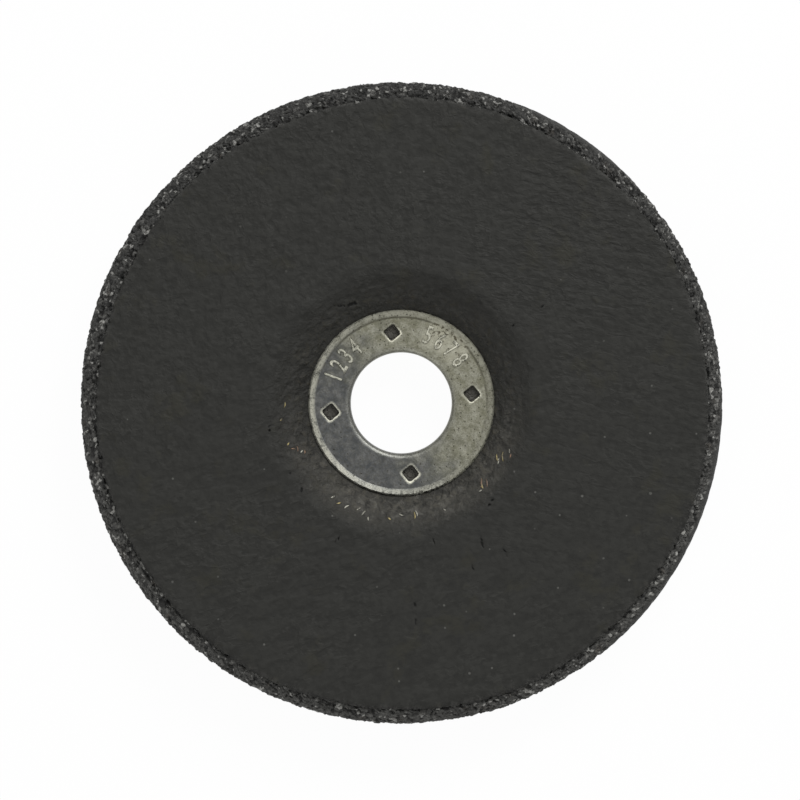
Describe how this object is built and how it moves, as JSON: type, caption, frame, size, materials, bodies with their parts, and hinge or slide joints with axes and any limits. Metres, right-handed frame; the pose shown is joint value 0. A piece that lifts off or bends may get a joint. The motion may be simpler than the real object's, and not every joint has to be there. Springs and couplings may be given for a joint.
{
  "type": "grinding disc",
  "caption": "Depressed-centre grinding disc of resin-bonded grain with a dark facing, a frayed bare-grain rim and a pressed steel ring in its bore.",
  "frame": {"origin": "on the bore axis at the back face of the raised boss, which the disc rests on", "axes": "+Z along the bore axis, out of the recessed working side; +X to the right and +Y up in the picture"},
  "size_m": [0.101, 0.101, 0.0106],
  "materials": {
    "bonded_grain": "matte",
    "dark_facing": "matte",
    "pressed_steel": "satin"
  },
  "bodies": {
    "root": {"abrasive_body": "bonded_grain", "facing": "dark_facing", "bush_ring": "pressed_steel"}
  },
  "joints": []
}
